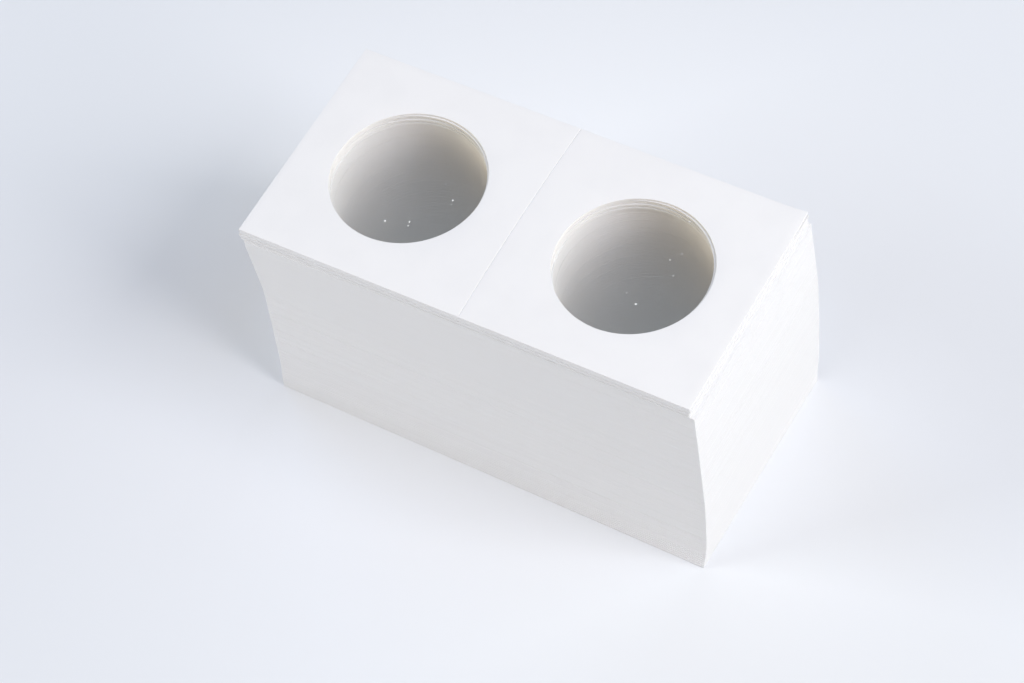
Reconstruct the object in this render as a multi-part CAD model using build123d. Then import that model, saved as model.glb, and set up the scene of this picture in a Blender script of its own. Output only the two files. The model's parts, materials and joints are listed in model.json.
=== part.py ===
from build123d import *
import os

import numpy as np

# A pile of coin holder flips, opened flat and squared up by hand. Each flip is a white card, scored across its
# middle so that its two leaves fold on each other, with a round window in each leaf and a sheet of clear film
# laminated over its inner face, which lies downwards here. +X runs along the long side of the cards, +Y to the
# back and +Z up. The origin is the centre of the underside of the lowest flip, where the pile stands. Lengths
# are in millimetres.

# The opened card
leaf_length = 50.8
leaf_width = 50.8
card_thickness = 0.5
film_thickness = 0.06

# The windows: each in the middle of its leaf, but for the drift of the die that cut them
window_diameter = 32.5
left_window_drift = 0.55
back_window_drift = 0.0

# The score across the middle of the card, pressed into its outer face, so that it opens as the flip folds
score_width = 0.4
score_depth = 0.16

# The leaves turn about a line just under the film, so that there is room for film on film when they are folded
fold_clearance = 0.03

# The pile, from the top down: flips that lie singly, decks of flips pressed together, and a foot
single_flips = 6
decks = 13
flips_in_deck = 7
flips_in_foot = 3

# How far the pile leans out of line at most, how far single flips are jogged, and the most twist, in degrees
lean = 1.8
single_jog = 0.2
twist = 1.0

# The lean of the decks, from the top of the pile (0) to its foot (1): share of the height, then the shares of the
# lean along X and along Y and the share of the twist. The foot itself is at the origin, turned by the whole twist.
lean_shares = (
    (0.07, -0.14, 0.70, 0.29),
    (0.20, 0.11, 0.72, -0.04),
    (0.40, 0.26, 0.98, -0.55),
    (0.62, 0.26, 0.75, -0.23),
    (0.85, 0.19, 0.46, -0.30),
    (0.97, 0.01, 0.08, -0.36),
)
foot_twist_share = -0.92

# Where the squared group of single flips lies, as shares of the lean, and how each flip of it is jogged from its
# neighbours, as shares of the jog along X and Y
group_shares = (-0.436, 0.716)
jog_shares = ((0, 0), (0.7, -0.3), (-0.6, 0.1), (-1.2, -0.4), (-1.0, 0.2), (0, -0.2))

# One overrun serves every cut that runs through a face
overrun = 2.0

pitch = card_thickness + film_thickness
card_length = 2 * leaf_length
foot_height = flips_in_foot * pitch
deck_height = flips_in_deck * pitch
pile_height = foot_height + decks * deck_height + single_flips * pitch
left_window_x = -(leaf_length / 2 + left_window_drift)
right_window_x = leaf_length / 2
window_y = back_window_drift


def window(x, height):
    """A round cutter for one window, through a board of the given height that stands on its film."""
    depth = height + 2 * overrun
    return Pos(x, window_y, film_thickness + height / 2) * Cylinder(window_diameter / 2, depth)


def leaf(side, window_x):
    """One leaf of a card, side -1 for the left and 1 for the right. Its edge at the score is a step and half a V."""
    profile = Polygon(
        (0, film_thickness),
        (side * leaf_length, film_thickness),
        (side * leaf_length, pitch),
        (side * score_width / 2, pitch),
        (0, pitch - score_depth),
        align=None,
    )
    board = extrude(Plane.XZ * profile, leaf_width / 2, both=True)
    return board - window(window_x, card_thickness)


def cards(count):
    """The cards of count flips pressed together, as one board with both windows and the top card's score."""
    height = count * pitch - film_thickness
    board = Pos(0, 0, film_thickness + height / 2) * Box(card_length, leaf_width, height)
    groove = Polygon((-score_width / 2, 0), (0, -score_depth), (score_width / 2, 0), align=None)
    score = Pos(0, 0, count * pitch) * extrude(Plane.XZ * groove, leaf_width / 2 + overrun, both=True)
    return board - window(left_window_x, height) - window(right_window_x, height) - score


def film():
    """The clear sheet under a card, on its inner face."""
    return Pos(0, 0, film_thickness / 2) * Box(card_length, leaf_width, film_thickness)


def leaf_film(side):
    """The film of one leaf of the flip that can fold. The two meet at the score."""
    return Pos(side * leaf_length / 2, 0, film_thickness / 2) * Box(leaf_length, leaf_width, film_thickness)


def deck_place(bottom):
    """Where a deck lies: the pile's lean and twist at the middle of the deck's height."""
    depth = 1 - (bottom + deck_height / 2) / pile_height
    depths, x_shares, y_shares, turns = zip(*lean_shares)
    x = lean * np.interp(depth, depths, x_shares)
    y = lean * np.interp(depth, depths, y_shares)
    turn = twist * np.interp(depth, depths, turns)
    return Location((x, y, bottom), (0, 0, turn))


def single_place(number):
    """Where a single flip lies, number 1 on top, with its own jog."""
    group_x, group_y = group_shares
    jog_x, jog_y = jog_shares[(number - 1) % len(jog_shares)]
    x = lean * group_x + single_jog * jog_x
    y = lean * group_y + single_jog * jog_y
    return Pos(x, y, pile_height - number * pitch)


def foot():
    """The lowest flips, turned as one against the rest of the pile."""
    place = Location((0, 0, 0), (0, 0, twist * foot_twist_share))
    return {"foot_cards": place * cards(flips_in_foot), "foot_film": place * film()}


def deck(number):
    """One deck, number 1 just under the single flips."""
    place = deck_place(foot_height + (decks - number) * deck_height)
    return {f"deck_{number:02d}_cards": place * cards(flips_in_deck), f"deck_{number:02d}_film": place * film()}


def single_flip(number):
    """One flip that lies singly in the group on top."""
    place = single_place(number)
    return {f"flip_{number:02d}_card": place * cards(1), f"flip_{number:02d}_film": place * film()}


def folding_flip():
    """The top flip, in leaves that turn on each other about the score."""
    place = single_place(1)
    return {
        "flip_01_left_leaf": place * leaf(-1, left_window_x),
        "flip_01_right_leaf": place * leaf(1, right_window_x),
        "flip_01_left_film": place * leaf_film(-1),
        "flip_01_right_film": place * leaf_film(1),
    }


nodes = folding_flip()
for number in range(2, single_flips + 1):
    nodes |= single_flip(number)
for number in range(1, decks + 1):
    nodes |= deck(number)
nodes |= foot()

os.makedirs("parts", exist_ok=True)
for name, solid in nodes.items():
    export_step(solid, f"parts/{name}.step")

fold_line = single_place(1).position - Vector(0, 0, fold_clearance)
print(f"{len(nodes)} nodes, pile {pile_height:.2f} high, fold line through {fold_line}")
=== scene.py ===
import json
import math

import bpy
import numpy as np
from mathutils import Matrix, Vector


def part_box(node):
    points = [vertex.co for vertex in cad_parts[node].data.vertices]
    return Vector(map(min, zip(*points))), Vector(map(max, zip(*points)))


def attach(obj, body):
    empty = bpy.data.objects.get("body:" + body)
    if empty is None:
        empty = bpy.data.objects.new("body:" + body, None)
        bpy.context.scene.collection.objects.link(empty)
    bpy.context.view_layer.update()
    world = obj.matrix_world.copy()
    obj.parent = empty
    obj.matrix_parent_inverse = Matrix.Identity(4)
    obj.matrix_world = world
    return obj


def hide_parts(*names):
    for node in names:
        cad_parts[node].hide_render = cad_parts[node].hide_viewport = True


# A pile of coin holder flips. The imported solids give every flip's place and size, and each card and each sheet
# of film in the pile is made here as a thin shell of its own. Lengths are in millimetres until a mesh is filled.

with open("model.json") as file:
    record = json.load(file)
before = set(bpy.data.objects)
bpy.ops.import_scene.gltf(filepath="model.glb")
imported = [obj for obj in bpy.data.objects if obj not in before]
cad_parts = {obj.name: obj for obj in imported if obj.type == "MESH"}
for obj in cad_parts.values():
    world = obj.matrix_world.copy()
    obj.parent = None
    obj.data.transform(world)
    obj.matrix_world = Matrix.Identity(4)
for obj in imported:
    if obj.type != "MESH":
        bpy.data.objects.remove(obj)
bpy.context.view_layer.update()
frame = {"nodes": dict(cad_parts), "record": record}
scene = bpy.context.scene
metres = 0.001
bodyOf = {node: body for body, members in frame["record"]["behaviour"]["bodies"].items() for node in members}

# Camera

photo = {"width": 1024, "height": 683}

camera = {
    "azimuth": 37.792,  # degrees round to the right of the long front side
    "elevation": 55.230,
    "roll": -10.652,
    "distance": 658.735,  # from the middle of the top face
    "focalPixels": 3322.593,
    "slideRight": -1.698,
    "slideUp": -23.851,
    "sensor": 36.0,
    "clip": (0.01, 50),  # in metres
}


def nodeBox(node):
    low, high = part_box(node)
    return np.array(low) / metres, np.array(high) / metres


def addCamera(target):
    azimuth, elevation, roll = (math.radians(camera[key]) for key in ("azimuth", "elevation", "roll"))
    back = Vector((
        math.sin(azimuth) * math.cos(elevation),
        -math.cos(azimuth) * math.cos(elevation),
        math.sin(elevation),
    ))
    level = Vector((0, 0, 1)).cross(back).normalized()
    rise = back.cross(level)
    right = math.cos(roll) * level + math.sin(roll) * rise
    up = back.cross(right)
    spot = Vector(target) + back * camera["distance"] + right * camera["slideRight"] + up * camera["slideUp"]
    turn = Matrix((right, up, back)).transposed()
    data = bpy.data.cameras.new("photoCamera")
    data.sensor_width = camera["sensor"]
    data.lens = camera["focalPixels"] * camera["sensor"] / photo["width"]
    data.clip_start, data.clip_end = camera["clip"]
    taker = bpy.data.objects.new("photoCamera", data)
    taker.matrix_world = Matrix.Translation(spot * metres) @ turn.to_4x4()
    scene.collection.objects.link(taker)
    scene.camera = taker


leafLow, leafHigh = nodeBox("flip_01_left_leaf")
topCentre = (leafHigh[0], (leafLow[1] + leafHigh[1]) / 2, leafHigh[2])
addCamera(topCentre)
print("camera: aimed at", [round(float(part), 3) for part in topCentre])

# Light: a dim room, a large soft lamp on the right with a lower and a higher one beside it, a low one at the left
# end and another behind it, and a weak one over the back

light = {
    "roomColour": (1.0, 0.866, 0.775),
    "roomStrength": 0.32,
    "distance": 1000,
    "raise": 100,
    "aimHeight": 30,
    "bounces": 3,
    "sheetsSeen": 256,  # a look into a window and out again goes through all the sheets
    # round from the right towards the back and above the floor, in degrees; size; watts; colour
    "sideLamp": (0, 38, 550, 7.49, (1.0, 0.943, 0.897)),
    "lowLamp": (30, 22, 550, 2.19, (0.904, 1.0, 0.936)),
    "highLamp": (0, 58, 550, 1.73, (0.318, 0.561, 1.0)),
    "leftLamp": (210, 22, 550, 5.0, (0.940, 0.988, 1.0)),
    "backLamp": (150, 22, 550, 1.67, (0.491, 0.677, 1.0)),
    "skyLamp": (135, 58, 550, 0.28, (0.393, 0.714, 1.0)),
}
lampNames = [key for key in light if key.endswith("Lamp")]


def addLamp(name):
    # a square soft lamp at its distance in its direction, facing the middle of the pile
    around, above, size, power, colour = light[name]
    around, above = math.radians(around), math.radians(above)
    way = Vector((math.cos(around) * math.cos(above), math.sin(around) * math.cos(above), math.sin(above)))
    spot = way * light["distance"] + Vector((0, 0, light["raise"]))
    turn = (spot - Vector((0, 0, light["aimHeight"]))).to_track_quat("Z", "Y")
    data = bpy.data.lights.new(name, "AREA")
    data.size = size * metres
    data.energy = power
    data.color = colour
    lamp = bpy.data.objects.new(name, data)
    lamp.matrix_world = Matrix.Translation(spot * metres) @ turn.to_matrix().to_4x4()
    lamp.visible_camera = False
    scene.collection.objects.link(lamp)


def addRoom(colour, strength):
    world = bpy.data.worlds.new("paleRoom")
    world.use_nodes = True
    background = world.node_tree.nodes["Background"]
    background.inputs["Color"].default_value = (*colour, 1)
    background.inputs["Strength"].default_value = strength
    scene.world = world


addRoom(light["roomColour"], light["roomStrength"])
for name in lampNames:
    addLamp(name)
scene.view_settings.view_transform = "Standard"
scene.cycles.transparent_max_bounces = light["sheetsSeen"]
scene.cycles.diffuse_bounces = scene.cycles.glossy_bounces = light["bounces"]
print("light: a room and", len(lampNames), "lamps")


# Materials

class Wire:
    # an output of a node; sums, products and quotients with numbers or other wires add Math nodes

    def __init__(self, sheet, socket):
        self.sheet, self.socket = sheet, socket

    def math(self, operation, *values):
        return self.sheet.add("Math", {"operation": operation}, dict(enumerate(values)))

    def __add__(self, other):
        return self.math("ADD", self, other)

    def __rsub__(self, other):
        return self.math("SUBTRACT", other, self)

    def __mul__(self, other):
        return self.math("MULTIPLY", self, other)

    def __truediv__(self, other):
        return self.math("DIVIDE", self, other)

    __radd__, __rmul__ = __add__, __mul__


class Sheet:
    # the node tree of one material

    def __init__(self, name):
        self.material = bpy.data.materials.new(name)
        self.material.use_nodes = True
        self.tree = self.material.node_tree
        self.tree.nodes.clear()

    def add(self, kind, settings, values, output=0):
        node = self.tree.nodes.new("ShaderNode" + kind)
        for key, value in settings.items():
            setattr(node, key, value)
        for key, value in values.items():
            if isinstance(value, Wire):
                self.tree.links.new(value.socket, node.inputs[key])
            else:
                node.inputs[key].default_value = value
        return Wire(self, node.outputs[output]) if node.outputs else None

    def mark(self, name):
        return self.add("Attribute", {"attribute_name": name}, {}, "Fac")

    def place(self, stretch=(1, 1, 1)):
        spot = self.add("TexCoord", {}, {}, "Object")
        return self.add("Mapping", {"vector_type": "POINT"}, {"Vector": spot, "Scale": stretch})

    def noise(self, place, grain, detail=2.0, rough=0.5):  # the grain in millimetres
        scale = 1 / (grain * metres)
        return self.add("TexNoise", {}, {"Vector": place, "Scale": scale, "Detail": detail, "Roughness": rough})

    def blend(self, share, low, high):
        return self.add("Mix", {"data_type": "RGBA"}, {0: share, 6: low, 7: high}, 2)

    def band(self, value, low, high):
        return self.add("MapRange", {"interpolation_type": "SMOOTHSTEP"}, {0: value, 1: low, 2: high})

    def bump(self, height, depth):
        return self.add("Bump", {}, {"Height": height, "Distance": depth * metres, "Strength": 1.0})

    def finish(self, **values):
        values = {key.replace("_", " "): value for key, value in values.items()}
        shader = self.add("BsdfPrincipled", {}, values)
        self.add("OutputMaterial", {}, {"Surface": shader})
        return self.material


card = {
    "white": (0.85, 0.856, 0.868, 1),
    "shade": (0.822, 0.828, 0.842, 1),
    "cut": (0.866, 0.872, 0.882, 1),
    "paintedWarmShade": (0.915, 0.838, 0.695, 1),  # painted warm shade on the windows' walls at the back right, which face away from the lamp
    "paintedLight": (0.965, 0.965, 0.96, 1),  # painted light on the walls of the top cards' windows at the left, which face the lamp
    # grey for a little grime on every card and for painted shade on the right end's cut edges
    "grimeAndShade": (0.62, 0.63, 0.65, 1),
    "grimeShare": 0.05,  # on every card
    "paintedEndShade": 0.42,  # painted shade, darkening the cut edges at the right end, which face the lamp
    "toneStep": 0.005,
    # grain, detail and roughness of each pattern
    "clouds": (9.0, 3.0),
    "fibres": (0.22, 4.0, 0.6),
    "strands": (0.352, 3.0, 0.7),
    "strokes": (0.154, 3.0, 0.7),
    "cloudBand": (0.35, 0.7),
    "cloudShare": 0.6,
    "fibreShare": 0.35,
    "strandShare": 0.4,
    "strandStretch": (1, 0.18, 1),
    "strokeStretch": (1, 1, 0.05),
    "fibreDepth": 0.006,
    "cutDepth": 0.014,
    "rough": 0.62,
    "roughSpread": 0.12,
    "shine": 0.35,
}


def cardMaterial():
    # the colour is the board's white, a little darker in soft clouds and fibres, with white cut edges, painted
    # warm shade at the back right of the windows' walls and painted light at their left, painted shade on the
    # right end's cut edges, a little grime, and each card's own tone; the height is crossed fibres on the faces
    # and upright strokes of the blade on the cuts
    sheet = Sheet("whiteBoard")
    place = sheet.place()
    cut, end = sheet.mark("cut"), sheet.mark("end")
    clouds = sheet.band(sheet.noise(place, *card["clouds"]), *card["cloudBand"])
    fibres = sheet.noise(place, *card["fibres"])
    strands = sheet.noise(sheet.place(card["strandStretch"]), *card["strands"])
    strokes = sheet.noise(sheet.place(card["strokeStretch"]), *card["strokes"])
    face = sheet.blend(clouds * card["cloudShare"] + fibres * card["fibreShare"], card["white"], card["shade"])
    # painted warm shade on the windows' walls at the back right
    colour = sheet.blend(sheet.mark("paintedWarmShade"), sheet.blend(cut, face, card["cut"]), card["paintedWarmShade"])
    # each card's tone, a little grime on every card, and painted shade on the cut edges at the right end
    grimeAndShade = sheet.mark("tone") * card["toneStep"] + end * card["paintedEndShade"] + card["grimeShare"]
    # painted light: the top cards' window walls are whitened at the left, where the lamp falls on them
    colour = sheet.blend(sheet.mark("paintedLight"), sheet.blend(grimeAndShade, colour, card["grimeAndShade"]), card["paintedLight"])
    weave = fibres * (1 - card["strandShare"]) + strands * card["strandShare"]
    height = weave * (1 - cut) * card["fibreDepth"] + strokes * cut * card["cutDepth"]
    return sheet.finish(
        Base_Color=colour,
        Roughness=card["rough"] + fibres * card["roughSpread"] + cut * card["roughSpread"],
        Normal=sheet.bump(height / card["cutDepth"], card["cutDepth"]),
        Specular_IOR_Level=card["shine"],
    )


film = {
    "clear": (0.97, 0.94, 0.91, 1),
    "warm": (0.97, 0.925, 0.88, 1),
    "cover": 0.0115,  # the share of light that one face of a deep sheet turns back
    "closeCover": 0.007,  # the same for the clean sheets near the top
    "tintGrain": 14.0,
    "tintMiddle": 0.5,
    "tintSpread": 0.3,
    "scuffs": 1.1,
    "scuffStretch": (1.0, 0.12, 1.0),
    "scuffBand": (0.62, 0.75),
    "scuffCover": 0.008,
    "scuffRough": 0.3,
    "ripple": 6.0,
    "rippleDepth": 0.01,
    "edge": (0.82, 0.825, 0.83, 1),
    "edgeRough": 0.5,
}


def filmMaterial(name, close):
    # a face lets most light through and mirrors the rest, which over many sheets adds up to a silvery grey. The
    # sheets near the top have soft ripples and slanting scuffs too, and each deeper one a tint of its own
    sheet = Sheet(name)
    cut = sheet.mark("cut")
    if close:
        place = sheet.place()
        tint = sheet.noise(place, film["tintGrain"])
        scuffs = sheet.band(sheet.noise(sheet.place(film["scuffStretch"]), film["scuffs"]), *film["scuffBand"])
        cover = film["closeCover"] + scuffs * film["scuffCover"] + cut
        rough = scuffs * film["scuffRough"]
        more = {"Normal": sheet.bump(sheet.noise(place, film["ripple"]), film["rippleDepth"])}
    else:
        tint = sheet.mark("tone") * film["tintSpread"] + film["tintMiddle"]
        cover, rough, more = cut + film["cover"], cut * film["edgeRough"], {}
    clear = sheet.blend(tint, film["clear"], film["warm"])
    return sheet.finish(
        Base_Color=sheet.blend(cut, clear, film["edge"]),
        Metallic=1 - cut,
        Roughness=rough,
        Alpha=cover,
        **more,
    )


materials = {
    "card": cardMaterial(),
    "film": filmMaterial("clearFilm", True),
    "deepFilm": filmMaterial("deepFilm", False),
}
print("materials:", ", ".join(materials))

# Meshes

flip = {
    "windowDiameter": 32.5,
    "leftWindowDrift": 0.55,
    "scoreWidth": 0.65,
    "filmGap": 0.002,  # between a sheet and the cards, so that no two faces lie in one plane
    "filmInset": 0.005,
    "filmRings": (0, 0.4, 0.75, 1),  # across a window, as shares of its radius
    "paneRings": (0, 0.5, 1),
    "paintedShadeWay": 55,  # where the painted warm shade on a window's wall is strongest, and where its painted light is, in degrees round from the right
    "paintedLightWay": 175,
    "weldSteps": 1e5,  # to a millimetre
    "sharpAngle": 35,
}

flip["leafLength"] = leafHigh[0] - leafLow[0]
flip["leafWidth"] = leafHigh[1] - leafLow[1]
flip["cardThickness"] = leafHigh[2] - leafLow[2]
filmLow, filmHigh = nodeBox("flip_01_left_film")
flip["filmThickness"] = filmHigh[2] - filmLow[2]
flip["pitch"] = flip["cardThickness"] + flip["filmThickness"]

# How closely a leaf is divided, how far its upper and lower rims are rounded, how deep its score is, where rings
# cross its face, as shares of the way out from the window, how far it reaches down past the card's underside, and
# how much painted light its window's wall gets at the left. Inside a deck a card and the film laminated to it show
# one edge, so there the card reaches down through the film, which shows in the windows alone
top = {"side": 30, "rim": 0.08, "toe": 0.008, "steps": 3, "score": 0.13, "rings": (0.3, 0.6, 0.85), "reach": 0,
       "paintedLight": 1}
fine = {"side": 30, "rim": 0.008, "toe": 0.005, "steps": 1, "score": 0.05, "rings": (), "reach": 0, "paintedLight": 0.8}
plain = {"side": 18, "rim": 0.012, "toe": 0.01, "steps": 1, "score": 0.02, "rings": (), "reach": 0, "paintedLight": 0}
bound = plain | {"reach": flip["filmThickness"] - flip["filmGap"]}


def leafOutline(side):
    # once round a leaf, anticlockwise from the front end of the score. Each side is cut at equal angles as seen
    # from its middle, and each end of the score has one more point, where the V starts
    run = (1 + np.tan(np.radians(np.linspace(-45, 45, side + 1)))) / 2
    length, width = flip["leafLength"], flip["leafWidth"]
    along = np.concatenate(([0, flip["scoreWidth"] / 2], length * run[1:]))
    across = width * (run[1:-1] - 0.5)
    ends = np.ones(len(along))
    x = np.concatenate((along, np.full(side - 1, length), along[::-1], np.zeros(side - 1)))
    y = np.concatenate((-width / 2 * ends, across, width / 2 * ends, across[::-1]))
    return x, y


def insetOutline(x, y, rim, score):
    # the outline moved in by the rim on the free sides, and by its own distance at the score
    length, width = flip["leafLength"], flip["leafWidth"]
    return np.clip(x, score, length - rim), np.clip(y, rim - width / 2, width / 2 - rim)


def windowRing(x, y, centre, radius):
    # the points of a circle that lie in line with the outline's points
    angle = np.arctan2(y - centre[1], x - centre[0])
    return centre[0] + radius * np.cos(angle), centre[1] + radius * np.sin(angle)


def stackRows(rows):
    return np.array([np.stack(np.broadcast_arrays(x, y, z), axis=-1) for x, y, z in rows])


def boardRows(centre, quality):
    # a leaf's profile carried round its window: up the window's wall, over a rounded rim, across the face, over
    # the outer rim or down into the V, down the edge, and back under
    x, y = leafOutline(quality["side"])
    rim, toeRim = quality["rim"], quality["toe"]
    height, radius = flip["cardThickness"], flip["windowDiameter"] / 2
    bends = np.radians(np.linspace(0, 90, quality["steps"] + 1))
    brinkX, brinkY = insetOutline(x, y, rim, flip["scoreWidth"] / 2)
    soleX, soleY = insetOutline(x, y, toeRim, 0)
    scored = x == 0
    lip = np.where(scored, height - quality["score"], height - rim)
    sole = -quality["reach"]
    toe = np.where(scored, sole, sole + toeRim)
    rows = [(*windowRing(brinkX, brinkY, centre, radius), sole)]
    for bend in bends:
        ring = windowRing(brinkX, brinkY, centre, radius + rim * (1 - math.cos(bend)))
        rows.append((*ring, height - rim * (1 - math.sin(bend))))
    ringX, ringY = rows[-1][:2]
    for share in quality["rings"]:
        rows.append((ringX + (brinkX - ringX) * share, ringY + (brinkY - ringY) * share, height))
    for bend in bends[::-1]:
        out = math.cos(bend)
        spotX, spotY = brinkX + (x - brinkX) * out, brinkY + (y - brinkY) * out
        rows.append((spotX, spotY, lip + (height - lip) * math.sin(bend)))
    rows += [(x, y, toe), (soleX, soleY, sole)]
    edge = len(rows) - 3  # the row from which the outer edge goes down
    return stackRows(rows), scored, edge, [0, edge]


def filmRows(centre, quality):
    # a sheet's profile from the middle of its window out over the top, round the edge and back to the middle
    x, y = leafOutline(quality["side"])
    edgeX, edgeY = insetOutline(x, y, flip["filmInset"], 0)
    low, high = flip["filmGap"], flip["filmThickness"] - flip["filmGap"]
    radius = flip["windowDiameter"] / 2
    rings = [windowRing(edgeX, edgeY, centre, radius * share) for share in flip["filmRings"]]
    rows = [(*ring, high) for ring in rings] + [(edgeX, edgeY, high), (edgeX, edgeY, low)]
    rows += [(*ring, low) for ring in rings[::-1]]
    return stackRows(rows), x == 0, len(rings), [len(rings)]


def paneRows(centre, quality):
    # the part of a sheet that shows in a window: over its top from the middle to the wall, and back underneath
    x, y = leafOutline(quality["side"])
    low, high = flip["filmGap"], flip["filmThickness"] - flip["filmGap"]
    radius = flip["windowDiameter"] / 2
    rings = [windowRing(x, y, centre, radius * share) for share in flip["paneRings"]]
    rows = [(*ring, high) for ring in rings] + [(*ring, low) for ring in rings[::-1]]
    return stackRows(rows), x == 0, len(rings) - 1, []


def gridTriangles(rows, columns, closed):
    # two triangles for each cell of a grid that closes round its columns, and over its rows where it is closed
    row = np.arange(rows if closed else rows - 1)[:, None]
    column = np.arange(columns)[None, :]
    nextRow, nextColumn = (row + 1) % rows, (column + 1) % columns
    a, b = row * columns + column, row * columns + nextColumn
    c, d = nextRow * columns + nextColumn, nextRow * columns + column
    return np.stack((np.stack((a, d, c), -1), np.stack((a, c, b), -1)), axis=2)  # rows, columns, two, three


def leafShell(makeRows, side, quality, joined, stray=(0, 0)):
    # one leaf as points, triangles and four marks for each triangle: 1 on the cut edges, how much painted warm
    # shade it gets at the back right of the window's wall, how much painted light at the left of it, and 1 on the
    # edges at the card's right end, which get painted shade. The left leaf is the right one mirrored, with its
    # triangles turned round. A joined leaf has no wall at the score, where the other leaf goes on
    drift = flip["leftWindowDrift"] if side < 0 else 0
    centre = (flip["leafLength"] / 2 + drift + side * stray[0], stray[1])
    grid, scored, edge, cuts = makeRows(centre, quality)
    closed = makeRows is boardRows
    cells = gridTriangles(*grid.shape[:2], closed)
    marks = np.zeros((*cells.shape[:3], 4))
    marks[cuts, ..., 0] = 1
    if closed:
        angle = np.arctan2(grid[0, :, 1] - centre[1], side * (grid[0, :, 0] - centre[0]))
        # painted warm shade towards the back right of the window's wall, and painted light towards its left
        warm, white = (np.clip(np.cos(angle - math.radians(flip[way])), 0, 1) for way in ("paintedShadeWay", "paintedLightWay"))
        marks[0, ..., 1] = warm[:, None] ** 2
        marks[0, ..., 2] = white[:, None] * quality["paintedLight"]
        # the edges at the card's right end, which get painted shade
        atEnd = grid[edge, :, 0] > flip["leafLength"] - quality["toe"]
        marks[edge, ..., 3] = (atEnd & np.roll(atEnd, -1))[:, None] * (side > 0)
    kept = np.ones(cells.shape[:3], bool)
    if joined:
        kept[edge, scored & np.roll(scored, -1)] = False
    points, triangles, marks = grid.reshape(-1, 3), cells[kept], marks[kept]
    if side < 0:
        points, triangles = points * (-1, 1, 1), triangles[:, ::-1]
    return points, triangles, marks


def joinShells(*shells):
    starts = np.cumsum([0] + [len(points) for points, triangles, marks in shells])
    points = np.concatenate([shell[0] for shell in shells])
    triangles = np.concatenate([shell[1] + start for shell, start in zip(shells, starts)])
    return points, triangles, np.concatenate([shell[2] for shell in shells])


def welded(*shells):
    # the shells as one, with points that coincide made one. Empty triangles are left out, and those that two
    # leaves have in the same place, back to back, at the ends of their seam, are too
    points, triangles, marks = joinShells(*shells)
    steps = np.round(points * flip["weldSteps"]).astype(np.int64)
    unique, first, number = np.unique(steps, axis=0, return_index=True, return_inverse=True)
    triangles = number.reshape(-1)[triangles]
    a, b, c = triangles.T
    kept = (a != b) & (b != c) & (c != a)
    triangles, marks = triangles[kept], marks[kept]
    places, copies = np.unique(np.sort(triangles, axis=1), axis=0, return_inverse=True, return_counts=True)[1:]
    kept = copies[places.reshape(-1)] == 1
    return points[first], triangles[kept], marks[kept]


def fillMesh(name, points, triangles, attributes):
    # points in millimetres into a mesh, with sharp edges where faces meet steeply
    mesh = bpy.data.meshes.new(name)
    mesh.vertices.add(len(points))
    mesh.vertices.foreach_set("co", (points * metres).astype(np.float32).ravel())
    mesh.loops.add(triangles.size)
    mesh.loops.foreach_set("vertex_index", triangles.astype(np.int32).ravel())
    mesh.polygons.add(len(triangles))
    mesh.polygons.foreach_set("loop_start", np.arange(0, triangles.size, 3, dtype=np.int32))
    mesh.update(calc_edges=True)
    for key, values in attributes.items():
        mesh.attributes.new(key, "FLOAT", "FACE").data.foreach_set("value", values.astype(np.float32))
    mesh.shade_smooth()
    mesh.set_sharp_from_angle(angle=math.radians(flip["sharpAngle"]))
    return mesh


def addPiece(name, mesh, material, slot, body, *nodes):
    piece = bpy.data.objects.new(name, mesh)
    mesh.materials.append(materials[material])
    scene.collection.objects.link(piece)
    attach(piece, body)
    if nodes:
        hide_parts(*nodes)


# The pile

pile = {
    "flipsInDeck": 7,
    "flipsInFoot": 3,
    "slip": 0.01,  # how far a card lies from its neighbours' line, in millimetres
    "turn": 0.012,  # and how far it is turned, in degrees
    "deckStray": (-0.65, 0.1),  # how far the windows in the decks lie from the middle of their leaves
    "toneSpread": 1.0,
    "seed": 41,
}
draws = np.random.default_rng(pile["seed"])


def nodePlace(node):
    # where a board lies: the middle of its box, and the turn of its back edge, from corner to corner
    low, high = nodeBox(node)
    spots = np.zeros(len(frame["nodes"][node].data.vertices) * 3, np.float32)
    frame["nodes"][node].data.vertices.foreach_get("co", spots)
    x, y, z = spots.reshape(-1, 3).T / metres
    right, left = np.argmax(x + y), np.argmax(y - x)
    turn = math.atan2(y[right] - y[left], x[right] - x[left])
    return (low[0] + high[0]) / 2, (low[1] + high[1]) / 2, turn, low[2] - flip["filmThickness"], high[2]


def layOut(shell, places):
    # copies of a shell, each turned about the upright line and moved to its place, as one shell, with one more
    # mark that is each copy's own
    points, triangles, marks = shell
    x, y, z, turn = (part[:, None] for part in places.T)
    spots = np.stack((
        x + points[:, 0] * np.cos(turn) - points[:, 1] * np.sin(turn),
        y + points[:, 0] * np.sin(turn) + points[:, 1] * np.cos(turn),
        z + points[:, 2],
    ), axis=-1)
    copies = len(places)
    shifts = np.arange(copies)[:, None, None] * len(points)
    tones = np.repeat(draws.normal(0, pile["toneSpread"], copies), len(triangles))
    marks = np.column_stack((np.tile(marks, (copies, 1)), tones))
    return spots.reshape(-1, 3), (triangles + shifts).reshape(-1, 3), marks


def wholeShell(makeRows, quality, strays=((0, 0), (0, 0)), joined=True):
    sides = ((-1, strays[0]), (1, strays[1]))
    return welded(*(leafShell(makeRows, side, quality, joined, stray) for side, stray in sides))


def addShells(name, material, slot, body, nodes, *shells):
    points, triangles, marks = joinShells(*shells)
    # the marks: cut edges, painted warm shade, painted light, painted shade at the right end, and each copy's tone
    mesh = fillMesh(name, points, triangles, dict(zip(("cut", "paintedWarmShade", "paintedLight", "end", "tone"), marks.T)))
    addPiece(name, mesh, material, slot, body, *nodes)


def raised(places):
    return places + (0, 0, flip["filmThickness"], 0)


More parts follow.
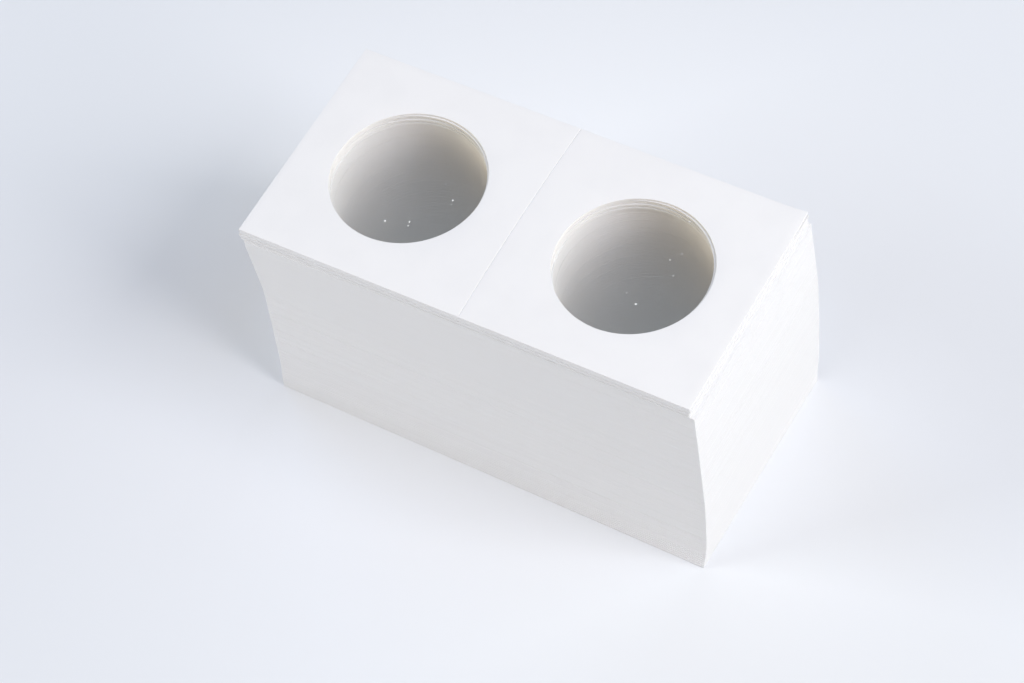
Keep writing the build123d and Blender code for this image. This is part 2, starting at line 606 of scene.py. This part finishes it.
deckNodes = sorted(node for node in bodyOf if node.startswith("deck_") and node.endswith("_cards"))
singleNodes = sorted(node for node in bodyOf if node.startswith("flip_") and node.endswith("_card"))
deckPlaces = np.array([nodePlace(node) for node in ["foot_cards", *deckNodes[::-1]]])
deckMiddles = (deckPlaces[:, 3] + deckPlaces[:, 4]) / 2
deckMiddles[0] = 0  # the foot's own turn is reached at the floor


def deckFlips(low, count):
    # the places of a deck's flips, from the bottom: the foot's and the decks' own places, run smoothly through
    # their heights, and a little slip and turn of each
    z = low + np.arange(count) * flip["pitch"]
    middle = z + flip["pitch"] / 2
    x, y, turn = (np.interp(middle, deckMiddles, deckPlaces[:, part]) for part in range(3))
    slips = draws.normal(0, pile["slip"], (2, count))
    turns = np.radians(draws.normal(0, pile["turn"], count))
    return np.stack((x + slips[0], y + slips[1], z, turn + turns), axis=-1)


deckStrays = (pile["deckStray"], pile["deckStray"])
lowCard, innerCard = (wholeShell(boardRows, quality, deckStrays) for quality in (plain, bound))
lowFilm, innerFilm = wholeShell(filmRows, plain, deckStrays), wholeShell(paneRows, plain, deckStrays, False)


def addDeck(title, places, cardNode, filmNode):
    # the lowest flip of a deck has its whole sheet, because it shows when what is above is lifted off
    cards = layOut(lowCard, raised(places[:1])), layOut(innerCard, raised(places[1:]))
    films = layOut(lowFilm, places[:1]), layOut(innerFilm, places[1:])
    addShells(title + "Cards", "card", "card", bodyOf[cardNode], [cardNode], *cards)
    addShells(title + "Films", "deepFilm", "film", bodyOf[filmNode], [filmNode], *films)


for node in deckNodes:
    places = deckFlips(nodePlace(node)[3], pile["flipsInDeck"])
    addDeck("deck" + node[5:7], places, node, node.replace("cards", "film"))
print("decks:", len(deckNodes), "of", pile["flipsInDeck"])

addDeck("foot", deckFlips(0, pile["flipsInFoot"]), "foot_cards", "foot_film")

# The single flips. Each window of a card lies a little off the place where the die should have cut it: x and y of
# the left window, then of the right one
single = {
    "strays": {
        "flip_01": ((0.0, 0.11), (0.0, -0.14)),
        "flip_02": ((-0.38, -0.14), (-0.56, -0.34)),
        "flip_03": ((-0.06, -0.04), (-0.16, -0.24)),
        "flip_04": ((0.05, -0.18), (-0.02, -0.38)),
        "flip_05": ((0.02, -0.13), (-0.02, -0.33)),
        "flip_06": ((-0.20, -0.17), (-0.20, -0.37)),
    },
    "scoreBow": 0.45,  # how far the top flip's score swings to the left in its middle
    "scoreReach": 6,
    "ear": 0.4,  # how far the top flip's back right corner is bent up
    "earReach": 7,
}

for node in singleNodes:
    x, y, turn, low, high = nodePlace(node)
    place = np.array([(x, y, low, 0)])
    title, body, sheet = "flip" + node[5:7], bodyOf[node], node.replace("card", "film")
    strays = single["strays"][node[:7]]
    board, pane = (wholeShell(makeRows, fine, strays) for makeRows in (boardRows, filmRows))
    addShells(title + "Card", "card", "card", body, [node], layOut(board, raised(place)))
    addShells(title + "Film", "film", "film", body, [sheet], layOut(pane, place))


def handled(shell):
    # the top flip's shell, with its score swung to the left by a parabola that fades beside it, and its back right
    # corner bent up by the square of how near it is
    points, triangles, marks = shell
    x, y, z = points.T
    near = np.clip(1 - np.abs(x) / single["scoreReach"], 0, 1)
    x = x - single["scoreBow"] * (1 - (2 * y / flip["leafWidth"]) ** 2) * near
    away = np.hypot(x - flip["leafLength"], y - flip["leafWidth"] / 2)
    z = z + single["ear"] * np.clip(1 - away / single["earReach"], 0, 1) ** 2
    return np.stack((x, y, z), axis=-1), triangles, marks


# Specks of board dust on the top sheet of each window, the last two a burr that hangs from the right window's rim:
# x and y from the middle of the pile's top, and reach
dust = {
    "left": ((-15.16, -0.90, 0.27), (-18.48, 2.11, 0.19), (-25.05, -11.0, 0.31), (-20.43, -9.15, 0.29),
             (-20.2, -10.1, 0.20), (-14.9, -1.9, 0.13), (-22.0, 5.2, 0.16)),
    "right": ((29.96, -7.89, 0.33), (32.62, 6.58, 0.15), (31.15, 4.31, 0.19), (27.1, -6.2, 0.17),
              (33.5, 1.2, 0.15), (24.3, 1.9, 0.15), (29.3, 15.25, 0.28), (30.4, 14.1, 0.26)),
    "points": 9,
    "rim": 0.75,  # the shares of a speck's reach: its rim's mean distance, how far that varies, and its height
    "rimSpread": 0.3,
    "height": 0.4,
    "crown": 0.7,  # how far out its flat top goes, as a share of its rim
}


def speckShell(x, y, reach):
    # a rough little lens, from the middle of its top out over its uneven rim and back underneath
    angle = np.linspace(0, math.tau, dust["points"], endpoint=False)
    rim = reach * (dust["rim"] + draws.uniform(-dust["rimSpread"], dust["rimSpread"], dust["points"]))
    tall = reach * dust["height"]
    rings = ((0, tall), (dust["crown"], tall), (1, 0), (0, 0))
    rows = [(x + rim * share * np.cos(angle), y + rim * share * np.sin(angle), z) for share, z in rings]
    grid = stackRows(rows) + (0, 0, flip["filmThickness"])
    triangles = gridTriangles(*grid.shape[:2], False).reshape(-1, 3)
    return welded((grid.reshape(-1, 3), triangles, np.tile((1.0, 0.0, 0.0, 0.0), (len(triangles), 1))))


topPlace = np.array([(topCentre[0], topCentre[1], topCentre[2] - flip["pitch"], 0)])
for side, name in ((-1, "left"), (1, "right")):
    title = "flip01" + name.capitalize()
    stray = single["strays"]["flip_01"][(side + 1) // 2]
    leaf, sheet = f"flip_01_{name}_leaf", f"flip_01_{name}_film"
    board = handled(welded(leafShell(boardRows, side, top, False, stray)))
    pane = handled(welded(leafShell(filmRows, side, top, False, stray)))
    specks = [layOut(speckShell(*speck), topPlace) for speck in dust[name]]
    addShells(title + "Leaf", "card", "card", bodyOf[leaf], [leaf], layOut(board, raised(topPlace)))
    addShells(title + "Film", "film", "film", bodyOf[sheet], [sheet], layOut(pane, topPlace), *specks)
print("single flips:", len(singleNodes), "and the top one in two leaves")

# Floor, a little darker away from the pile, where less light gets to it

floor = {
    "half": 3000,
    "drop": 0.02,
    "near": (0.818, 0.836, 0.864, 1),
    "far": (0.738, 0.768, 0.812, 1),
    "middle": (-0.02, 0.01, 0),  # in metres
    "reach": (0.03, 0.14),
    "cloud": (0.785, 0.82, 0.868, 1),
    "cloudGrain": 160.0,
    "cloudShare": 0.15,
    "rough": 0.75,
    "cells": 24,
}


def floorMaterial():
    # the colour fades with the distance from the pile, with faint wide clouds
    sheet = Sheet("floor")
    place = sheet.place()
    away = sheet.add("VectorMath", {"operation": "DISTANCE"}, {0: place, 1: floor["middle"]}, 1)
    colour = sheet.blend(sheet.band(away, *floor["reach"]), floor["near"], floor["far"])
    clouds = sheet.noise(place, floor["cloudGrain"]) * floor["cloudShare"]
    return sheet.finish(Base_Color=sheet.blend(clouds, colour, floor["cloud"]), Roughness=floor["rough"])


def addFloor():
    # a square grid of cells, each of them two triangles
    half, cells = floor["half"], floor["cells"]
    line, side = np.linspace(-half, half, cells + 1), cells + 1
    x, y = np.meshgrid(line, line)
    points = np.stack((x, y, np.full_like(x, -floor["drop"])), axis=-1).reshape(-1, 3)
    row, column = (part.ravel() for part in np.mgrid[0:cells, 0:cells])
    a = row * side + column
    b, c, d = a + 1, a + side + 1, a + side
    triangles = np.concatenate((np.stack((a, b, c), -1), np.stack((a, c, d), -1)))
    mesh = fillMesh("floor", points, triangles, {})
    mesh.materials.append(floorMaterial())
    plane = bpy.data.objects.new("floor", mesh)
    scene.collection.objects.link(plane)


addFloor()
print("floor laid")
